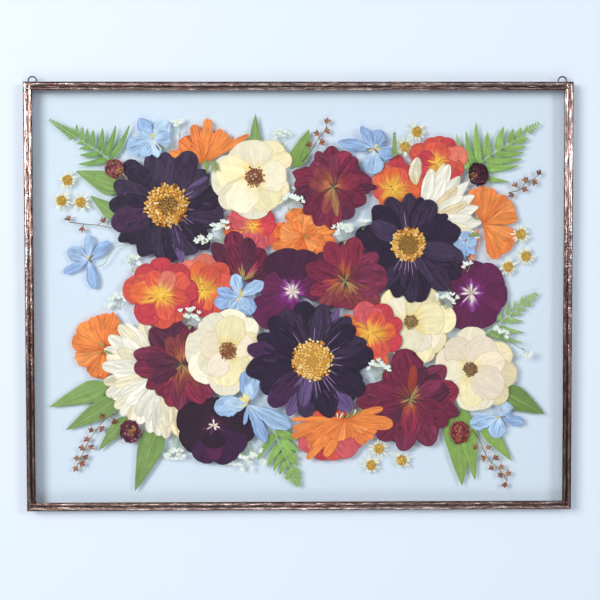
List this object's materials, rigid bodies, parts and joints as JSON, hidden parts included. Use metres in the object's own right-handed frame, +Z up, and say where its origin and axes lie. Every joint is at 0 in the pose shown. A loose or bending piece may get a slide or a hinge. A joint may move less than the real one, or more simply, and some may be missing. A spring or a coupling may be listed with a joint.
{
  "type": "pressed flower frame",
  "caption": "Wall-hung frame of two clear panes in a soldered copper border, with pressed flowers, fern fronds and leaves laid in layers between them and wire rings on top.",
  "frame": {"origin": "middle of the bottom edge, halfway through the depth", "axes": "+X to the right seen from the front, +Y towards the wall, +Z up; the flowers face -Y"},
  "size_m": [0.457, 0.011, 0.3633],
  "materials": {
    "clear_glass": "clear float glass, polished",
    "copper_solder": "solder with a copper patina, shiny and uneven",
    "dark_wire": "dark tinned wire, satin",
    "dark_dahlia_petals": "dry pressed petals, matt with a faint silky sheen",
    "burgundy_dahlia_petals": "dry pressed petals, matt with a faint silky sheen",
    "cream_rose_petals": "dry pressed petals, matt",
    "coral_ranunculus_petals": "dry pressed petals, matt",
    "orange_cosmos_petals": "dry pressed petals, matt",
    "violet_pansy_petals": "dry pressed petals, velvety",
    "dark_pansy_petals": "dry pressed petals, velvety",
    "white_mum_petals": "dry pressed petals, matt",
    "delphinium_petals": "dry pressed petals, matt",
    "leaf_green": "dry pressed leaf, matt",
    "fern_green": "dry pressed frond, matt",
    "burnet_red": "dry pressed flower heads, rough"
  },
  "bodies": {
    "root": {"glass_back": "clear_glass", "glass_front": "clear_glass", "copper_border": "copper_solder", "hanging_ring_left": "dark_wire", "hanging_ring_right": "dark_wire", "dark_dahlia_upper_left": "dark_dahlia_petals", "dark_dahlia_right": "dark_dahlia_petals", "dark_dahlia_centre": "dark_dahlia_petals", "burgundy_dahlia_top": "burgundy_dahlia_petals", "burgundy_dahlia_centre_left": "burgundy_dahlia_petals", "burgundy_dahlia_centre": "burgundy_dahlia_petals", "burgundy_dahlia_left": "burgundy_dahlia_petals", "burgundy_dahlia_lower_right": "burgundy_dahlia_petals", "cream_rose_top": "cream_rose_petals", "cream_rose_left": "cream_rose_petals", "cream_rose_right": "cream_rose_petals", "cream_rose_lower_right": "cream_rose_petals", "coral_ranunculus_left": "coral_ranunculus_petals", "coral_ranunculus_centre_left": "coral_ranunculus_petals", "coral_ranunculus_upper_left": "coral_ranunculus_petals", "coral_ranunculus_top_right": "coral_ranunculus_petals", "coral_ranunculus_upper_right": "coral_ranunculus_petals", "coral_ranunculus_right": "coral_ranunculus_petals", "coral_ranunculus_bottom": "coral_ranunculus_petals", "orange_cosmos_upper_left": "orange_cosmos_petals", "orange_cosmos_upper": "orange_cosmos_petals", "orange_cosmos_right": "orange_cosmos_petals", "orange_cosmos_left": "orange_cosmos_petals", "orange_cosmos_bottom": "orange_cosmos_petals", "violet_pansy_centre": "violet_pansy_petals", "violet_pansy_right": "violet_pansy_petals", "dark_pansy_bottom": "dark_pansy_petals", "white_mum_left": "white_mum_petals", "white_mum_right": "white_mum_petals", "delphinium_upper_left": "delphinium_petals", "delphinium_left": "delphinium_petals", "delphinium_centre_left": "delphinium_petals", "delphinium_top": "delphinium_petals", "delphinium_right": "delphinium_petals", "delphinium_bottom": "delphinium_petals", "delphinium_lower_right": "delphinium_petals", "leaf_upper_left": "leaf_green", "leaf_upper_left_low": "leaf_green", "leaf_top_left": "leaf_green", "leaf_top": "leaf_green", "leaf_left_upper": "leaf_green", "leaf_left_middle": "leaf_green", "leaf_left_lower": "leaf_green", "leaf_bottom": "leaf_green", "leaf_lower_right": "leaf_green", "leaf_right": "leaf_green", "leaf_split_lower_right": "leaf_green", "fern_upper_left": "fern_green", "fern_upper_right": "fern_green", "fern_right": "fern_green", "fern_bottom": "fern_green", "burnet_head_upper_left": "burnet_red", "burnet_head_lower_left": "burnet_red", "burnet_head_upper_right": "burnet_red", "burnet_head_lower_right": "burnet_red"}
  },
  "joints": []
}
